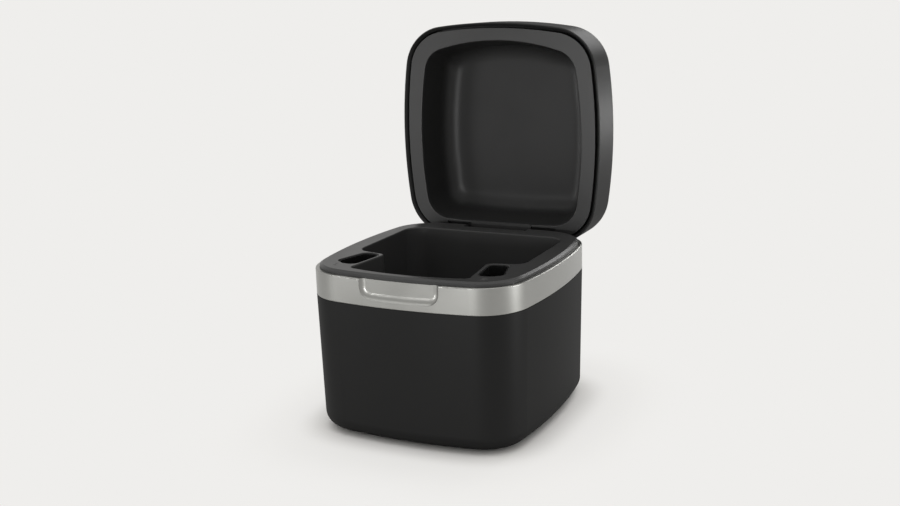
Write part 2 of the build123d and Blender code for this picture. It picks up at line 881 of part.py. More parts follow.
# Inlaid letters in front of the wells tell the two sides apart.
with BuildPart() as side_marks:
    with BuildSketch(Plane.XY.offset(deck_top - mark_depth)):
        add(side_letters())
    extrude(amount=mark_depth + mark_proud)
side_marks.part.label = "side_marks"
export_step(side_marks.part, "parts/side_marks.step")

# Board, its parts, and the power socket in the rear wall
with BuildPart() as main_board:
    with BuildSketch(Plane.XY.offset(board_bottom)):
        with Locations((0, (board_front + board_back) / 2)):
            RectangleRounded(2 * board_half_width, board_back - board_front, board_corner)
        with Locations(*post_places):
            Circle(board_screw[0] + assembly_gap, mode=Mode.SUBTRACT)
    extrude(amount=board_thickness)
main_board.part.label = "main_board"
export_step(main_board.part, "parts/main_board.step")

with BuildPart() as board_screws:
    add(screws(board_screw, [-Plane((x, y, board_top)) for x, y in post_places]))
board_screws.part.label = "board_screws"
export_step(board_screws.part, "parts/board_screws.step")

with BuildPart() as board_components:
    for x, y, width, length, height in packages:
        with BuildSketch(Plane.XY.offset(board_top)):
            with Locations((x, y)):
                Rectangle(width, length)
        extrude(amount=height)
    with BuildSketch(Plane.XY.offset(board_top)):
        with Locations(*[(x * inductor_x, inductor_y) for x in sides]):
            Circle(inductor_radius)
    extrude(amount=inductor_height)
board_components.part.label = "board_components"
export_step(board_components.part, "parts/board_components.step")

with BuildPart() as flex_connectors:
    with BuildSketch(Plane.XY.offset(board_top)):
        with Locations(*[(x * (connector_x + connector_length / 2), coil_y) for x in sides]):
            Rectangle(connector_length, connector_width)
    extrude(amount=connector_height)
    for x in sides:
        outer_end = connector_x + connector_length
        mouth = sorted((x * outer_end, x * (outer_end - lead_grip)))
        add(
            bar(
                mouth,
                (coil_y - lead_width / 2 - thread_gap, coil_y + lead_width / 2 + thread_gap),
                (lead_z - lead_half - thread_gap, lead_z + lead_half + thread_gap),
            ),
            mode=Mode.SUBTRACT,
        )
flex_connectors.part.label = "flex_connectors"
export_step(flex_connectors.part, "parts/flex_connectors.step")

with BuildPart() as power_socket:
    wall_face = half_depth - draft_at(board_top + socket_height / 2)
    mouth_plane = Plane.XZ.offset(socket_recess - wall_face)
    with BuildSketch(mouth_plane):
        with Locations((0, board_top + socket_height / 2)):
            SlotOverall(socket_width, socket_height)
            SlotOverall(socket_width - 2 * socket_shell, socket_height - 2 * socket_shell, mode=Mode.SUBTRACT)
    extrude(amount=socket_length)
    with BuildSketch(mouth_plane.offset(socket_length)):
        with Locations((0, board_top + socket_height / 2)):
            SlotOverall(socket_width, socket_height)
    extrude(amount=-socket_back)
    with BuildSketch(mouth_plane.offset(socket_length)):
        with Locations((0, board_top + socket_height / 2)):
            Rectangle(tongue_width, tongue_height)
    extrude(amount=socket_back - socket_length)
power_socket.part.label = "power_socket"
export_step(power_socket.part, "parts/power_socket.step")

# Magnets under the deck, met by the lid's when it is shut
with BuildPart() as base_magnets:
    add(magnet_bars(Plane.XY.offset(plate_bottom - magnet_height)))
base_magnets.part.label = "base_magnets"
export_step(base_magnets.part, "parts/base_magnets.step")

# Hinge bracket: a strip screwed to the towers, with two ears that hold the pin
with BuildPart() as hinge_bracket:
    add(
        bar(
            (-bracket_half_length, bracket_half_length),
            (hinge_y - bracket_front, hinge_y - bracket_back),
            (bracket_bottom, bracket_top),
        )
    )
    for x in (ear_x, -ear_x - ear_thickness):
        with BuildSketch(axis_plane(x)):
            Circle(ear_radius)
            with BuildLine():
                Polyline(
                    (-ear_radius, 0),
                    (-bracket_front, -bracket_drop - bracket_thickness),
                    (-bracket_back, -bracket_drop - bracket_thickness),
                    (ear_radius, 0),
                    close=True,
                )
            make_face()
        extrude(amount=ear_thickness)
    with BuildSketch(axis_plane(-ear_outside)):
        Circle(pin_radius + pin_gap)
    extrude(amount=2 * ear_outside, mode=Mode.SUBTRACT)
    with BuildSketch(Plane.XY.offset(bracket_bottom)):
        with Locations(*[(x * tower_x, screw_y) for x in sides]):
            Circle(bracket_screw[0] + assembly_gap)
    extrude(amount=bracket_thickness, mode=Mode.SUBTRACT)
hinge_bracket.part.label = "hinge_bracket"
export_step(hinge_bracket.part, "parts/hinge_bracket.step")

with BuildPart() as bracket_screws:
    add(screws(bracket_screw, [-Plane((x * tower_x, screw_y, bracket_top)) for x in sides]))
bracket_screws.part.label = "bracket_screws"
export_step(bracket_screws.part, "parts/bracket_screws.step")

# Pin with a head at one end and a groove for the retaining ring at the other
with BuildPart() as hinge_pin:
    with BuildSketch(axis_plane(-pin_end)):
        Circle(pin_radius)
    extrude(amount=pin_end + ear_outside)
    with BuildSketch(axis_plane(ear_outside)):
        Circle(pin_head_radius)
    extrude(amount=pin_head)
    with BuildSketch(axis_plane(-groove_start - ring_thickness - thread_gap)):
        Circle(pin_head_radius)
        Circle(pin_radius - ring_groove, mode=Mode.SUBTRACT)
    extrude(amount=ring_thickness + thread_gap, mode=Mode.SUBTRACT)
    chamfer(hinge_pin.edges().sort_by(Axis.X)[0], ring_groove)
hinge_pin.part.label = "hinge_pin"
export_step(hinge_pin.part, "parts/hinge_pin.step")

with BuildPart() as retaining_ring:
    with BuildSketch(axis_plane(-groove_start - ring_thickness)):
        Circle(pin_head_radius)
        Circle(pin_radius - ring_groove + thread_gap, mode=Mode.SUBTRACT)
        Rectangle(ring_opening, pin_head_radius, align=(Align.CENTER, Align.MIN), mode=Mode.SUBTRACT)
    extrude(amount=ring_thickness - thread_gap)
retaining_ring.part.label = "retaining_ring"
export_step(retaining_ring.part, "parts/retaining_ring.step")

with BuildPart() as hinge_washers:
    for x in (ear_x - washer_thickness, -ear_x):
        with BuildSketch(axis_plane(x)):
            Circle(washer_radius)
            Circle(pin_radius + pin_gap, mode=Mode.SUBTRACT)
        extrude(amount=washer_thickness)
hinge_washers.part.label = "hinge_washers"
export_step(hinge_washers.part, "parts/hinge_washers.step")

# Lid: outer shell with a rounded top edge
with BuildPart() as lid_hollow:
    with BuildSketch(lid_plane(lid_seat)):
        add(bowed_outline(lid_rim))
    extrude(amount=lid_depth - lid_top_wall)
    fillet(lid_hollow.edges().group_by(lid_axis)[-1], lid_inner_radius)

with BuildPart() as lid_shell:
    with BuildSketch(lid_plane(lid_seat)):
        add(bowed_outline())
    extrude(amount=lid_depth)
    fillet(lid_shell.edges().group_by(lid_axis)[-1], lid_radius)
    fillet(lid_shell.edges().group_by(lid_axis)[0], lid_edge)
    add(lid_hollow.part, mode=Mode.SUBTRACT)
    with BuildSketch(lid_plane(lid_seat)):
        add(bowed_outline(lid_rim - rim_slope_width))
    with BuildSketch(lid_plane(lid_seat + rim_slope_depth)):
        add(bowed_outline(lid_rim))
    loft(ruled=True, mode=Mode.SUBTRACT)
lid_shell.part.label = "lid_shell"
export_step(lid_shell.part, "parts/lid_shell.step")

# Lining of the lid: a flat frame round a deep drafted recess, with a skirt and a flange that fit the shell
with BuildPart() as lid_liner:
    with BuildSketch(lid_plane(frame_face)):
        add(bowed_outline(frame_inset))
    extrude(amount=frame_thickness)
    with BuildSketch(lid_plane(frame_face)):
        add(bowed_ring(frame_inset, frame_inset + frame_skirt))
    extrude(amount=groove_depth + flange_height)
    with BuildSketch(lid_plane(frame_face + groove_depth)):
        add(bowed_ring(lid_rim + thread_gap, frame_inset + frame_skirt))
    extrude(amount=flange_height)
    with BuildSketch(lid_plane(frame_face)):
        add(bowed_outline(frame_inset))
        with Locations((0, half_depth)):
            Rectangle(
                2 * (block_pocket_half + recess_wall),
                2 * (half_depth - hinge_y + block_front + recess_wall),
                mode=Mode.INTERSECT,
            )
    extrude(amount=block_pocket_depth + block_pad)
    add(recess_form(recess_wall))
    add(cradles(lid_plane(frame_face + frame_thickness)))
    add(recess_form(0), mode=Mode.SUBTRACT)
    fillet(lid_liner.faces().sort_by(lid_axis)[0].inner_wires()[0].edges(), recess_edge)
    with BuildSketch(lid_plane(frame_face)):
        for half, front in (
            (block_pocket_half, block_pocket_front),
            (barrel_half_length + assembly_gap, block_front + assembly_gap),
        ):
            with Locations((0, hinge_y - front)):
                Rectangle(2 * half, half_depth, align=(Align.CENTER, Align.MIN))
    extrude(amount=block_pocket_depth, mode=Mode.SUBTRACT)
    with BuildSketch(lid_plane(frame_face)):
        with Locations(*[(x * block_screw_x, hinge_y - block_screw_front) for x in sides]):
            Circle(block_screw[0] + assembly_gap)
    extrude(amount=block_pocket_depth + block_pad, mode=Mode.SUBTRACT)
lid_liner.part.label = "lid_liner"
export_step(lid_liner.part, "parts/lid_liner.step")

# Hinge block: barrel, neck and plate in one, screwed into the lining's pocket
with BuildPart() as hinge_block:
    plate_height = pocket_floor - hinge_z
    block_plane = Plane(hinge.location * Location(Plane.YZ.offset(-barrel_half_length)))
    with BuildSketch(block_plane):
        Circle(barrel_radius)
        with Locations((-neck_front, 0)):
            Rectangle(neck_front + neck_back, plate_height, align=Align.MIN)
        with Locations((-block_front, plate_height - block_pocket_depth)):
            Rectangle(block_front + block_back, block_pocket_depth, align=Align.MIN)
        Circle(pin_radius + pin_gap, mode=Mode.SUBTRACT)
    extrude(amount=2 * barrel_half_length)
    with BuildSketch(lid_plane(pocket_floor)):
        with Locations(*[(x * block_screw_x, hinge_y - block_screw_front) for x in sides]):
            Circle(block_screw[0] + thread_gap)
    extrude(amount=block_pad - block_screw[1] - assembly_gap, mode=Mode.SUBTRACT)
hinge_block.part.label = "hinge_block"
export_step(hinge_block.part, "parts/hinge_block.step")

with BuildPart() as block_screws:
    pad_top = pocket_floor + block_pad
    add(
        screws(
            block_screw,
            [-lid_plane(pad_top, x * block_screw_x, hinge_y - block_screw_front) for x in sides],
        )
    )
block_screws.part.label = "block_screws"
export_step(block_screws.part, "parts/block_screws.step")

with BuildPart() as lid_magnets:
    add(magnet_bars(lid_plane(frame_face + frame_thickness)))
lid_magnets.part.label = "lid_magnets"
export_step(lid_magnets.part, "parts/lid_magnets.step")
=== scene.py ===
from math import cos, pi, radians, sin

import bpy
from bpy.props import FloatProperty, FloatVectorProperty, PointerProperty
from mathutils import Matrix, Vector


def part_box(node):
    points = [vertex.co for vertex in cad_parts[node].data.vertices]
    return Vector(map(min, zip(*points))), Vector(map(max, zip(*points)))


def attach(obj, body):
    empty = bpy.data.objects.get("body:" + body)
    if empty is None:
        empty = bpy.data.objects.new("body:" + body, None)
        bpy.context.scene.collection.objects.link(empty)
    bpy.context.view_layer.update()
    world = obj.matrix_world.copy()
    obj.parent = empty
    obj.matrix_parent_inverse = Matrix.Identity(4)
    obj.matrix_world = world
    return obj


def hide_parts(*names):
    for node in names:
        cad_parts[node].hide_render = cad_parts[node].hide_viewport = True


bl_info = {
    "name": "Hearing aid charger finishes",
    "version": (1, 0, 0),
    "blender": (4, 5, 0),
    "location": "View3D > Sidebar > Charger",
    "description": "Gives each piece of a desktop hearing aid charger its real finish and sets up the studio",
    "category": "Object",
}

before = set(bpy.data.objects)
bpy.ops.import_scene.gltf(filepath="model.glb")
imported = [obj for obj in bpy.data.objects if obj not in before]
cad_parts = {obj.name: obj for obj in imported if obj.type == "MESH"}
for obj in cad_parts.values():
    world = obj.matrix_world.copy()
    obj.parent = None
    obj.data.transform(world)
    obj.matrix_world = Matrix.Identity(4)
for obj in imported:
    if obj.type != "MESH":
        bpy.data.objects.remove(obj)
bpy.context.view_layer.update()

MM = 0.001
# A satin lacquer has an IOR of about 1.5. It is raised until the walls' highlights are as clear as the real ones.
LACQUER_IOR = 1.7
# The Mix node's first input, second input and result have the same names for each type of data, so they go by number.
MIX_COLOURS = (6, 7, 2)
MIX_VECTORS = (4, 5, 1)


def linear(code):
    """sRGB hex colour as linear red, green and blue."""
    parts = [int(code[i:i + 2], 16) / 255 for i in (1, 3, 5)]
    return tuple(c / 12.92 if c <= 0.04045 else ((c + 0.055) / 1.055) ** 2.4 for c in parts)


def add_node(owner, kind, settings=(), links=()):
    """Adds a node to a material or world, sets its properties and sockets, and links outputs into its sockets."""
    tree = owner.node_tree
    node = tree.nodes.new(kind)
    for key, value in dict(settings).items():
        if hasattr(node, str(key)):
            setattr(node, key, value)
        else:
            node.inputs[key].default_value = value
    for key, (source, output) in dict(links).items():
        tree.links.new(source.outputs[output], node.inputs[key])
    return node


def new_material(name):
    """Node material with its shader; returns the material and the shader."""
    material = bpy.data.materials.new(name)
    material.use_nodes = True
    return material, material.node_tree.nodes["Principled BSDF"]


def feed(owner, target, socket, source, output):
    """Links a node's output into a socket of another node."""
    owner.node_tree.links.new(source.outputs[output], target.inputs[socket])


def shade_by_noise(material, shader, place, size_mm, colour, spread, roughness, roughness_spread):
    """Slow drift of colour and roughness, as moulded and painted faces have."""
    noise = add_node(
        material, "ShaderNodeTexNoise", {"Scale": 1 / (size_mm * MM), "Detail": 3.0}, {"Vector": (place, "Object")}
    )
    dark = tuple(c * (1 - spread) for c in colour)
    light = tuple(min(1.0, c * (1 + spread)) for c in colour)
    first, second, result = MIX_COLOURS
    tint = add_node(
        material,
        "ShaderNodeMix",
        {"data_type": "RGBA", first: (*dark, 1), second: (*light, 1)},
        {"Factor": (noise, "Fac")},
    )
    feed(material, shader, "Base Color", tint, result)
    # The noise seldom leaves the middle of its range.
    gloss = add_node(
        material,
        "ShaderNodeMapRange",
        {
            "From Min": 0.3,
            "From Max": 0.7,
            "To Min": roughness - roughness_spread,
            "To Max": roughness + roughness_spread,
        },
        {"Value": (noise, "Fac")},
    )
    feed(material, shader, "Roughness", gloss, "Result")


def moulded_plastic(name, colour, roughness, grain_mm, grain_height_mm, ior=1.54, sheen=0.5, lacquer=0.0):
    """Injection-moulded plastic with the pebbled texture that its spark-eroded mould leaves.

    Sheen is the share of a smooth face's reflection that the texture leaves, and lacquer the share of the piece that
    a thin satin lacquer covers. Real pebbles are about 0.1 mm wide, too fine to show, so they are drawn coarser.
    Ink, resist, film, ferrite and machined acetal aren't moulded, but take it too, each with its own faint grain.
    """
    material, shader = new_material(name)
    place = add_node(material, "ShaderNodeTexCoord")
    shade_by_noise(
        material, shader, place, size_mm=14.0, colour=colour, spread=0.08, roughness=roughness, roughness_spread=0.03
    )
    shader.inputs["IOR"].default_value = ior
    shader.inputs["Specular IOR Level"].default_value = sheen
    shader.inputs["Coat Weight"].default_value = lacquer
    shader.inputs["Coat Roughness"].default_value = roughness
    shader.inputs["Coat IOR"].default_value = LACQUER_IOR
    grain = add_node(
        material,
        "ShaderNodeTexVoronoi",
        {"feature": "SMOOTH_F1", "Scale": 1 / (grain_mm * MM), "Smoothness": 0.8},
        {"Vector": (place, "Object")},
    )
    bump = add_node(
        material,
        "ShaderNodeBump",
        {"Strength": 0.6, "Distance": grain_height_mm * MM},
        {"Height": (grain, "Distance")},
    )
    feed(material, shader, "Normal", bump, "Normal")
    return material


def worked_metal(name, colour, roughness, lines_mm, lines_axis, line_height_mm):
    """Metal with the fine parallel lines that rolling, turning, drawing or plating leaves along one axis.

    The real lines are a few hundredths of a millimetre apart, too fine to show, so they are drawn coarser.
    """
    material, shader = new_material(name)
    shader.inputs["Metallic"].default_value = 1.0
    place = add_node(material, "ShaderNodeTexCoord")
    # Lines twenty times as long as they are wide.
    stretch = [1.0, 1.0, 1.0]
    stretch[lines_axis] = 1 / 20
    along = add_node(material, "ShaderNodeMapping", {}, {"Vector": (place, "Object")})
    along.inputs["Scale"].default_value = stretch
    shade_by_noise(
        material, shader, place, size_mm=6.0, colour=colour, spread=0.06, roughness=roughness, roughness_spread=0.04
    )
    lines = add_node(
        material,
        "ShaderNodeTexNoise",
        {"Scale": 1 / (lines_mm * MM), "Detail": 2.0},
        {"Vector": (along, "Vector")},
    )
    bump = add_node(
        material,
        "ShaderNodeBump",
        {"Strength": 0.5, "Distance": line_height_mm * MM},
        {"Height": (lines, "Fac")},
    )
    feed(material, shader, "Normal", bump, "Normal")
    return material


def straight_looks(owner):
    """1 for rays of the camera, a reflection or a see-through piece, 0 for rays that carry light."""
    path = add_node(owner, "ShaderNodeLightPath")
    looks = add_node(
        owner, "ShaderNodeMath", {"operation": "MAXIMUM"}, {0: (path, "Is Camera Ray"), 1: (path, "Is Glossy Ray")}
    )
    return add_node(
        owner, "ShaderNodeMath", {"operation": "MAXIMUM"}, {0: (looks, "Value"), 1: (path, "Is Transmission Ray")}
    )


def finish(material, *names):
    """Gives CAD pieces a material."""
    for name in names:
        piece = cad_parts[name]
        for place in piece.material_slots:
            place.material = material


class HousingSettings(bpy.types.PropertyGroup):
    """Colours, gloss and texture of the moulded housing, deck, lid and lining."""

    housing_colour: FloatVectorProperty(
        name="Housing", description="Colour of the moulded housing", subtype="COLOR", size=3, min=0, max=1,
        default=linear("#0c0c0c"),
    )
    lid_colour: FloatVectorProperty(
        name="Lid", description="Colour of the lid's outer shell", subtype="COLOR", size=3, min=0, max=1,
        default=linear("#1c1c1c"),
    )
    deck_colour: FloatVectorProperty(
        name="Deck", description="Colour of the deck", subtype="COLOR", size=3, min=0, max=1,
        default=linear("#333333"),
    )
    lining_colour: FloatVectorProperty(
        name="Lining", description="Colour of the lid's lining", subtype="COLOR", size=3, min=0, max=1,
        default=linear("#222222"),
    )
    roughness: FloatProperty(
        name="Roughness", description="Roughness of the moulded faces", subtype="FACTOR", min=0, max=1, default=0.36,
    )
    sheen: FloatProperty(
        name="Sheen", description="Share of a smooth face's reflection that the housing's fine texture leaves",
        subtype="FACTOR", min=0, max=1, default=0.0,
    )
    lacquer: FloatProperty(
        name="Lacquer", description="Share of the housing and lid that their thin satin lacquer covers",
        subtype="FACTOR", min=0, max=1, default=0.22,
    )
    lining_sheen: FloatProperty(
        name="Lining sheen", description="The same share on the deck, the cups and the lid's lining",
        subtype="FACTOR", min=0, max=1, default=0.14,
    )
    rim_sheen: FloatProperty(
        name="Rim sheen", description="The same share on the polished face that the lid shuts with",
        subtype="FACTOR", min=0, max=1, default=0.28,
    )
    grain: FloatProperty(
        name="Grain", description="Width at which a pebble of the moulded texture is drawn", subtype="DISTANCE",
        unit="LENGTH", min=0.0001, max=0.005, default=0.0006,
    )


class BandSettings(bpy.types.PropertyGroup):
    """Look of the silver band."""

    colour: FloatVectorProperty(
        name="Lacquer", description="Colour of the silver lacquer", subtype="COLOR", size=3, min=0, max=1,
        default=linear("#8b8b88"),
    )
    roughness: FloatProperty(
        name="Roughness", description="Roughness of the lacquer", subtype="FACTOR", min=0, max=1, default=0.35,
    )
    flake: FloatProperty(
        name="Flake", description="Size at which the aluminium flake is drawn", subtype="DISTANCE", unit="LENGTH",
        min=0.0001, max=0.005, default=0.0005,
    )


class CoilSettings(bpy.types.PropertyGroup):
    """Winding of the two charging coils."""

    wire: FloatProperty(
        name="Wire", description="Diameter of the enamelled wire", subtype="DISTANCE", unit="LENGTH",
        min=0.0001, max=0.001, default=0.00036,
    )
    clearance: FloatProperty(
        name="Clearance", description="Least gap between neighbouring wires", subtype="DISTANCE", unit="LENGTH",
        min=0.0, max=0.0002, default=0.00003,
    )
    bore: FloatProperty(
        name="Bore", description="Share of the coil's width that its open middle takes", subtype="FACTOR",
        min=0.1, max=0.8, default=0.4,
    )


class StudioSettings(bpy.types.PropertyGroup):
    """Backdrop and camera."""

    backdrop: FloatVectorProperty(
        name="Backdrop", description="Colour of the floor and backdrop", subtype="COLOR", size=3, min=0, max=1,
        default=linear("#efeeec"),
    )
    lens: FloatProperty(
        name="Lens", description="Focal length of the camera", subtype="DISTANCE_CAMERA", min=1, max=500,
        default=44.83,
    )


class CHARGER_OT_housing(bpy.types.Operator):
    """Finish the housing and the outside of the lid"""

    bl_idname = "charger.housing"
    bl_label = "Housing and lid shell"

    def execute(self, context):
        settings = context.scene.charger_housing
        # ABS, moulded in a spark-eroded tool and thinly lacquered: a near-black satin that shows soft, faint
        # highlights and goes pale only where it's seen edge-on.
        housing = moulded_plastic(
            "moulded_abs_housing", settings.housing_colour, settings.roughness, settings.grain / MM,
            grain_height_mm=0.012, sheen=settings.sheen, lacquer=settings.lacquer,
        )
        finish(housing, "base_shell", "bottom_plate")
        # The same ABS and lacquer for the lid, a shade paler and a little duller.
        duller = settings.roughness + 0.03
        lid = moulded_plastic(
            "moulded_abs_lid", settings.lid_colour, duller, settings.grain / MM,
            grain_height_mm=0.012, sheen=settings.sheen, lacquer=settings.lacquer,
        )
        finish(lid, "lid_shell")
        return {"FINISHED"}


class CHARGER_OT_deck(bpy.types.Operator):
    """Finish the deck, the cups in its wells, the lid's lining and the letters"""

    bl_idname = "charger.deck"
    bl_label = "Deck, wells and lining"

    def execute(self, context):
        settings = context.scene.charger_housing
        # ABS, moulded with a fine texture and left bare: edges show as broad pale lines. The deck is a shade
        # paler than the lid's lining.
        smoother = settings.roughness - 0.02
        for name, colour in (("deck", settings.deck_colour), ("lid_liner", settings.lining_colour)):
            lining = moulded_plastic(
                "moulded_abs_" + name, colour, smoother, settings.grain / MM,
                grain_height_mm=0.01, sheen=settings.lining_sheen,
            )
            finish(lining, name)
        self.polish_rim(lining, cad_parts["lid_liner"], settings)
        # ABS cups, moulded in a polished tool: smoother and darker than the deck round them.
        cup = moulded_plastic(
            "moulded_abs_cup", linear("#161616"), 0.3, grain_mm=0.6, grain_height_mm=0.004, sheen=settings.lining_sheen
        )
        finish(cup, "left_well_liner", "right_well_liner")
        # Pad-printed ink: matt, slightly glossier than the deck and only a little paler.
        ink = moulded_plastic(
            "printed_ink", linear("#444444"), 0.5, grain_mm=0.3, grain_height_mm=0.003, ior=1.48, sheen=0.2
        )
        finish(ink, "side_marks")
        return {"FINISHED"}

    def polish_rim(self, lining, liner, settings):
        """The face that meets the deck is polished in the mould; the recess keeps the dull spark texture."""
        # Depths behind that face, in the open lid: where the polish fades, and where the recess nears its floor.
        polish_from, polish_to = 0.8 * MM, 2.0 * MM
        corner_from, corner_to, corner_radius = 6 * MM, 9 * MM, 6 * MM
        front = min(corner.co.y for corner in liner.data.vertices)
        place = add_node(lining, "ShaderNodeTexCoord")
        along = add_node(lining, "ShaderNodeSeparateXYZ", {}, {"Vector": (place, "Object")})
        gloss = add_node(
            lining,
            "ShaderNodeMapRange",
            {
                "From Min": front + polish_from,
                "From Max": front + polish_to,
                "To Min": settings.rim_sheen,
                "To Max": settings.lining_sheen,
            },
            {"Value": (along, "Y")},
        )
        feed(lining, lining.node_tree.nodes["Principled BSDF"], "Specular IOR Level", gloss, "Result")
        # The recess turns into its floor more softly than the solid's fillet does, so that corner is shaded rounder.
        inside = add_node(
            lining, "ShaderNodeMapRange", {"From Min": front + corner_from, "From Max": front + corner_to},
            {"Value": (along, "Y")},
        )
        surface = add_node(lining, "ShaderNodeNewGeometry")
        soft = add_node(lining, "ShaderNodeBevel", {"samples": 16, "Radius": corner_radius})
        first, second, result = MIX_VECTORS
        turned = add_node(
            lining,
            "ShaderNodeMix",
            {"data_type": "VECTOR"},
            {"Factor": (inside, "Result"), first: (surface, "Normal"), second: (soft, "Normal")},
        )
        bump = next(node for node in lining.node_tree.nodes if node.bl_idname == "ShaderNodeBump")
        feed(lining, bump, "Normal", turned, result)


class CHARGER_OT_band(bpy.types.Operator):
    """Finish the silver band"""

    bl_idname = "charger.band"
    bl_label = "Silver band"

    def execute(self, context):
        settings = context.scene.charger_band
        # Silver lacquer, sprayed on a moulded band: aluminium flake in a satin binder, so the reflections are
        # wide and soft. Real flake is about 0.02 mm wide, too fine to show, so it is drawn coarser.
        material, shader = new_material("silver_lacquer")
        place = add_node(material, "ShaderNodeTexCoord")
        shade_by_noise(
            material, shader, place, size_mm=9.0, colour=settings.colour, spread=0.03,
            roughness=settings.roughness, roughness_spread=0.02,
        )
        shader.inputs["Metallic"].default_value = 0.9
        flake = add_node(
            material,
            "ShaderNodeTexVoronoi",
            {"Scale": 1 / settings.flake},
            {"Vector": (place, "Object")},
        )
        bump = add_node(
            material, "ShaderNodeBump", {"Strength": 0.12, "Distance": 0.01 * MM}, {"Height": (flake, "Distance")}
        )
        feed(material, shader, "Normal", bump, "Normal")
        finish(material, "trim_band")
        return {"FINISHED"}


class CHARGER_OT_hinge(bpy.types.Operator):
    """Finish the hinge block, bracket, pin, ring, washers and screws"""

    bl_idname = "charger.hinge"
    bl_label = "Hinge"

    def execute(self, context):
        # Glass-filled nylon, moulded: duller than the ABS round it.
        nylon = moulded_plastic(
            "moulded_nylon", linear("#2a2a2a"), 0.5, grain_mm=0.5, grain_height_mm=0.01, ior=1.53, sheen=0.2
        )
        finish(nylon, "hinge_block")
        # Acetal, machined: waxy off-white.
        acetal = moulded_plastic(
            "machined_acetal", linear("#d8d4c8"), 0.35, grain_mm=0.4, grain_height_mm=0.004, ior=1.48
        )
        finish(acetal, "hinge_washers")
        # Stainless strip, rolled and stamped: faint lines along the strip.
        strip = worked_metal(
            "rolled_stainless", linear("#a2a2a0"), 0.34, lines_mm=0.25, lines_axis=0, line_height_mm=0.004
        )
        finish(strip, "hinge_bracket")
        # Stainless rod, turned: bright, with lines round the pin.
        rod = worked_metal(
            "turned_stainless", linear("#b4b4b2"), 0.24, lines_mm=0.2, lines_axis=1, line_height_mm=0.003
        )
        finish(rod, "hinge_pin", "retaining_ring")
        # Zinc plate over steel screws: a cool grey bloom.
        zinc = worked_metal(
            "zinc_plated_steel", linear("#9a9b9c"), 0.38, lines_mm=0.3, lines_axis=2, line_height_mm=0.003
        )
        finish(zinc, "bottom_screws", "board_screws", "bracket_screws", "block_screws")
        return {"FINISHED"}


class CHARGER_OT_charging(bpy.types.Operator):
    """Finish the coils, ferrites, leads and magnets"""

    bl_idname = "charger.charging"
    bl_label = "Coils, leads and magnets"

    def execute(self, context):
        # Copper wire, drawn and enamelled: warm and glossy.
        copper = worked_metal(
            "enamelled_copper", linear("#b0683a"), 0.28, lines_mm=0.3, lines_axis=2, line_height_mm=0.02
        )
        finish(copper, "left_coil", "right_coil")
        for side, hand in (("left", -1), ("right", 1)):
            coil = self.winding(side + "_winding", *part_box(side + "_coil"), hand, context.scene.charger_coils)
            coil.data.materials.append(copper)
            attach(coil, "base")
            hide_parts(side + "_coil")
        # Ferrite, pressed and sintered: charcoal with a slight glaze.
        ferrite = moulded_plastic(
            "sintered_ferrite", linear("#242326"), 0.4, grain_mm=0.4, grain_height_mm=0.01, ior=1.8
        )
        finish(ferrite, "left_ferrite", "right_ferrite")
        # Polyimide film, cast: amber and shiny.
        film = moulded_plastic(
            "polyimide_film", linear("#8e5313"), 0.25, grain_mm=2.0, grain_height_mm=0.005, ior=1.7
        )
        finish(film, "left_flex_lead", "right_flex_lead")
        # Nickel plate over the sintered magnets and the socket's stamped shell: bright and slightly yellow.
        nickel = worked_metal(
            "nickel_plate", linear("#c0bdb2"), 0.22, lines_mm=0.4, lines_axis=2, line_height_mm=0.002
        )
        finish(nickel, "base_magnets", "lid_magnets", "power_socket")
        return {"FINISHED"}

    def winding(self, name, low, high, hand, settings):
        """One unbroken wire wound in flat layers, outwards and inwards in turn, in the coil's own space."""
        middle = (low + high) / 2
        pitch = settings.wire + settings.clearance
        edge = settings.wire / 2 + settings.clearance
        outer = (high.x - low.x) / 2 - edge
        inner = (high.x - low.x) / 2 * settings.bore + edge
        turns = int((outer - inner) / pitch)
        layers = int((high.z - low.z) / pitch)
        rise = (high.z - low.z - 2 * edge) / (layers - 1)
        # Steps in one turn, steps in which the wire climbs to the next layer, and sides of its round section.
        per_turn, crossing, sides = 48, 6, 8
        path = []
        for layer in range(layers):
            first, last = (inner, outer) if layer % 2 == 0 else (outer, inner)
            for i in range(turns * per_turn + 1):
                path.append((first + (last - first) * i / (turns * per_turn), layer))
            if layer < layers - 1:
                path += [(last, layer + i / crossing) for i in range(1, crossing)]
        corners, faces = [], []
        for step, (radius, level) in enumerate(path):
            turn = hand * 2 * pi * step / per_turn
            outward = Vector((cos(turn), sin(turn), 0))
            centre = Vector((middle.x, middle.y, low.z + edge + level * rise)) + outward * radius
            for i in range(sides):
                round_wire = 2 * pi * i / sides
                offset = outward * cos(round_wire) + Vector((0, 0, sin(round_wire)))
                corners.append(centre + offset * settings.wire / 2)
        for ring in range(len(path) - 1):
            for i in range(sides):
                a, b = ring * sides + i, ring * sides + (i + 1) % sides
                faces.append((a, b, b + sides, a + sides)[::-hand])
        start, end = tuple(range(sides)), tuple(range((len(path) - 1) * sides, len(path) * sides))
        faces += [start[::hand], end[::-hand]]
        mesh = bpy.data.meshes.new(name)
        mesh.from_pydata(corners, [], faces)
        mesh.shade_smooth()
        coil = bpy.data.objects.new(name, mesh)
        bpy.context.scene.collection.objects.link(coil)
        return coil


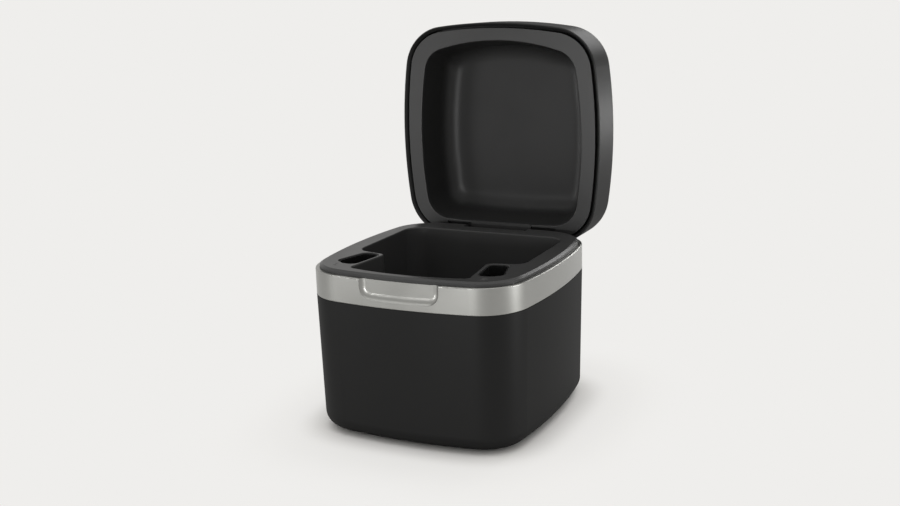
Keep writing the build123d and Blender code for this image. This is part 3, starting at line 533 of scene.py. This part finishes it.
class CHARGER_OT_board(bpy.types.Operator):
    """Finish the board, its packages and its connectors"""

    bl_idname = "charger.board"
    bl_label = "Board"

    def execute(self, context):
        # Glass-epoxy laminate under a screen-printed solder resist: glossy green.
        laminate = moulded_plastic(
            "solder_resist", linear("#1d4a33"), 0.25, grain_mm=1.2, grain_height_mm=0.01, ior=1.55
        )
        finish(laminate, "main_board")
        # Epoxy packages, moulded: dull charcoal.
        package = moulded_plastic(
            "moulded_epoxy", linear("#232323"), 0.55, grain_mm=0.3, grain_height_mm=0.008, ior=1.55
        )
        finish(package, "board_components")
        # Liquid-crystal polymer, moulded: matt cream.
        polymer = moulded_plastic(
            "moulded_polymer", linear("#cfc8b4"), 0.5, grain_mm=0.4, grain_height_mm=0.006, ior=1.6
        )
        finish(polymer, "flex_connectors")
        return {"FINISHED"}


class CHARGER_OT_foot(bpy.types.Operator):
    """Finish the soft foot"""

    bl_idname = "charger.foot"
    bl_label = "Foot"

    def execute(self, context):
        # Thermoplastic elastomer, moulded: fully matt.
        elastomer = moulded_plastic(
            "moulded_elastomer", linear("#191919"), 0.8, grain_mm=0.8, grain_height_mm=0.02, ior=1.5
        )
        finish(elastomer, "base_pad")
        return {"FINISHED"}


class CHARGER_OT_studio(bpy.types.Operator):
    """Set the floor, the light and the camera"""

    bl_idname = "charger.studio"
    bl_label = "Studio"

    def execute(self, context):
        settings = context.scene.charger_studio
        self.floor(settings)
        self.light(settings)
        self.camera(settings)
        context.scene.view_settings.view_transform = "Standard"
        return {"FINISHED"}

    def floor(self, settings):
        """Floor that sweeps up into a backdrop."""
        # Half the floor's width, radius of its sweep, height of the backdrop, and steps in the sweep.
        half, radius, height, steps = 3.0, 1.0, 2.5, 12
        # Distances from the charger's middle at which the floor's own brightness starts, has most of its share
        # and has all of it.
        starts, mostly, wholly = 0.041, 0.053, 0.085
        most = 0.7
        profile = [(-half, 0.0), (half - radius, 0.0)]
        for i in range(1, steps + 1):
            turn = radians(90 * i / steps)
            profile.append((half - radius + radius * sin(turn), radius - radius * cos(turn)))
        profile.append((half, height))
        corners = [(x, y, z) for y, z in profile for x in (-half, half)]
        faces = [(2 * i, 2 * i + 1, 2 * i + 3, 2 * i + 2) for i in range(len(profile) - 1)]
        mesh = bpy.data.meshes.new("floor")
        mesh.from_pydata(corners, [], faces)
        mesh.shade_smooth()
        floor = bpy.data.objects.new("floor", mesh)
        bpy.context.scene.collection.objects.link(floor)
        material, shader = new_material("painted_backdrop")
        # Matt paint, rolled: no highlights. It takes light and shadow near the charger. Further out its seen
        # brightness becomes its own, so that the sweep stays even and pale up to the top of the picture.
        shader.inputs["Base Color"].default_value = (*settings.backdrop, 1)
        shader.inputs["Roughness"].default_value = 1.0
        shader.inputs["Specular IOR Level"].default_value = 0.0
        glow = add_node(material, "ShaderNodeEmission", {"Color": (*settings.backdrop, 1)})
        place = add_node(material, "ShaderNodeTexCoord")
        # Distance in rounded squares, like the charger's footprint: the fourth root of x^4 + y^4.
        squares = add_node(
            material, "ShaderNodeVectorMath", {"operation": "MULTIPLY"}, {0: (place, "Object"), 1: (place, "Object")}
        )
        fourths = add_node(
            material, "ShaderNodeVectorMath", {"operation": "DOT_PRODUCT"},
            {0: (squares, "Vector"), 1: (squares, "Vector")},
        )
        distance = add_node(material, "ShaderNodeMath", {"operation": "POWER", 1: 0.25}, {0: (fourths, "Value")})
        near = add_node(
            material,
            "ShaderNodeMapRange",
            {"interpolation_type": "SMOOTHSTEP", "From Min": starts, "From Max": mostly, "To Max": most},
            {"Value": (distance, "Value")},
        )
        outer = add_node(
            material,
            "ShaderNodeMapRange",
            {"interpolation_type": "SMOOTHSTEP", "From Min": mostly, "From Max": wholly, "To Max": 1 - most},
            {"Value": (distance, "Value")},
        )
        both = add_node(material, "ShaderNodeMath", {"operation": "ADD"}, {0: (near, "Result"), 1: (outer, "Result")})
        share = add_node(
            material, "ShaderNodeMath", {"operation": "MULTIPLY"},
            {0: (straight_looks(material), "Value"), 1: (both, "Value")},
        )
        mix = add_node(
            material, "ShaderNodeMixShader", {}, {0: (share, "Value"), 1: (shader, "BSDF"), 2: (glow, "Emission")}
        )
        feed(material, material.node_tree.nodes["Material Output"], "Surface", mix, "Shader")
        mesh.materials.append(material)

    def light(self, settings):
        """Even pale surroundings, boxes above and behind, and low boxes for the highlights on upright walls."""
        world = bpy.data.worlds.new("studio")
        bpy.context.scene.world = world
        world.use_nodes = True
        background = world.node_tree.nodes["Background"]
        background.inputs["Color"].default_value = (*settings.backdrop, 1)
        # Strength of the light that the surroundings give, and of their own look.
        given, seen = 0.86, 1.0
        strength = add_node(
            world, "ShaderNodeMapRange", {"To Min": given, "To Max": seen}, {"Value": (straight_looks(world), "Value")}
        )
        feed(world, background, "Strength", strength, "Result")
        # Name, place, width, height and power in watts of each box.
        boxes = (
            ("key_box", (-0.6, -0.16, 1.0), 0.45, 0.45, 0.6),
            ("left_box", (-0.62, -0.62, 0.05), 0.16, 0.08, 1.3),
            ("front_box", (-0.03, -0.9, 0.07), 0.3, 0.12, 2.8),
            ("right_box", (0.85, 0.1, 0.04), 0.16, 0.06, 3.2),
            ("back_box", (0.35, 0.85, 0.03), 0.2, 0.05, 0.7),
            ("rear_box", (0.1, 0.95, 0.5), 0.5, 0.35, 3.0),
            ("top_box", (0.0, 0.1, 1.3), 1.4, 1.4, 5.4),
        )
        # The low boxes are for the walls: the floor is left out of their light, and so gets no long shadows.
        left_out = bpy.data.collections.new("left_out")
        left_out.objects.link(bpy.data.objects["floor"])
        left_out.collection_objects[0].light_linking.link_state = "EXCLUDE"
        low = 0.1
        aim = Vector((0, 0, 0.06))
        for name, place, width, height, power in boxes:
            lamp = bpy.data.lights.new(name, "AREA")
            lamp.shape = "RECTANGLE"
            lamp.size, lamp.size_y, lamp.energy = width, height, power
            holder = bpy.data.objects.new(name, lamp)
            holder.location = place
            holder.visible_camera = False
            if place[2] < low:
                holder.light_linking.receiver_collection = left_out
            holder.rotation_mode = "QUATERNION"
            holder.rotation_quaternion = (aim - Vector(place)).to_track_quat("-Z", "Y")
            bpy.context.scene.collection.objects.link(holder)

    def camera(self, settings):
        """Camera at the photograph's view, fitted to the outline of the base, band and open lid."""
        turn, rise, roll = radians(22.049), radians(13.224), radians(-0.7477)
        # Metres from a point on the charger's axis, which lies this high above the floor, back to the camera, and
        # the camera's steps aside and upwards from there.
        distance, aside, upwards, middle = 0.41694, 0.027715, 0.024611, 0.0378
        back = Vector((sin(turn) * cos(rise), -cos(turn) * cos(rise), sin(rise)))
        right = Vector((cos(turn), sin(turn), 0))
        up = right.cross(-back)
        place = back * distance + right * aside + up * upwards + Vector((0, 0, middle))
        across = right * cos(roll) + up * sin(roll)
        upward = up * cos(roll) - right * sin(roll)
        data = bpy.data.cameras.new("camera")
        data.lens = settings.lens
        data.sensor_width = 36.0
        data.shift_x, data.shift_y = -0.0877, -0.0118
        data.clip_start, data.clip_end = 0.01, 20.0
        camera = bpy.data.objects.new("camera", data)
        turned = Matrix((across, upward, back)).transposed().to_4x4()
        camera.matrix_world = Matrix.Translation(place) @ turned
        bpy.context.scene.collection.objects.link(camera)
        bpy.context.scene.camera = camera


class CHARGER_PT_panel(bpy.types.Panel):
    """The charger's pieces and their settings."""

    bl_label = "Charger"
    bl_idname = "CHARGER_PT_panel"
    bl_space_type = "VIEW_3D"
    bl_region_type = "UI"
    bl_category = "Charger"

    def draw(self, context):
        for group in GROUPS:
            settings = getattr(context.scene, group)
            for name in settings.bl_rna.properties.keys():
                if name not in ("rna_type", "name"):
                    self.layout.prop(settings, name)
        for piece in OPERATORS:
            self.layout.operator(piece.bl_idname)


GROUPS = {
    "charger_housing": HousingSettings,
    "charger_band": BandSettings,
    "charger_coils": CoilSettings,
    "charger_studio": StudioSettings,
}
OPERATORS = (
    CHARGER_OT_studio,
    CHARGER_OT_housing,
    CHARGER_OT_deck,
    CHARGER_OT_band,
    CHARGER_OT_hinge,
    CHARGER_OT_charging,
    CHARGER_OT_board,
    CHARGER_OT_foot,
)
CLASSES = (*GROUPS.values(), *OPERATORS, CHARGER_PT_panel)


def register():
    """Registers the classes and puts the settings on the scene."""
    for kind in CLASSES:
        bpy.utils.register_class(kind)
    for name, kind in GROUPS.items():
        setattr(bpy.types.Scene, name, PointerProperty(type=kind))


def unregister():
    """Takes the settings and the classes away again."""
    for name in GROUPS:
        delattr(bpy.types.Scene, name)
    for kind in reversed(CLASSES):
        bpy.utils.unregister_class(kind)


def main():
    """Makes every piece in order."""
    register()
    for piece in OPERATORS:
        group, name = piece.bl_idname.split(".")
        getattr(getattr(bpy.ops, group), name)()


if __name__ == "__main__":
    main()
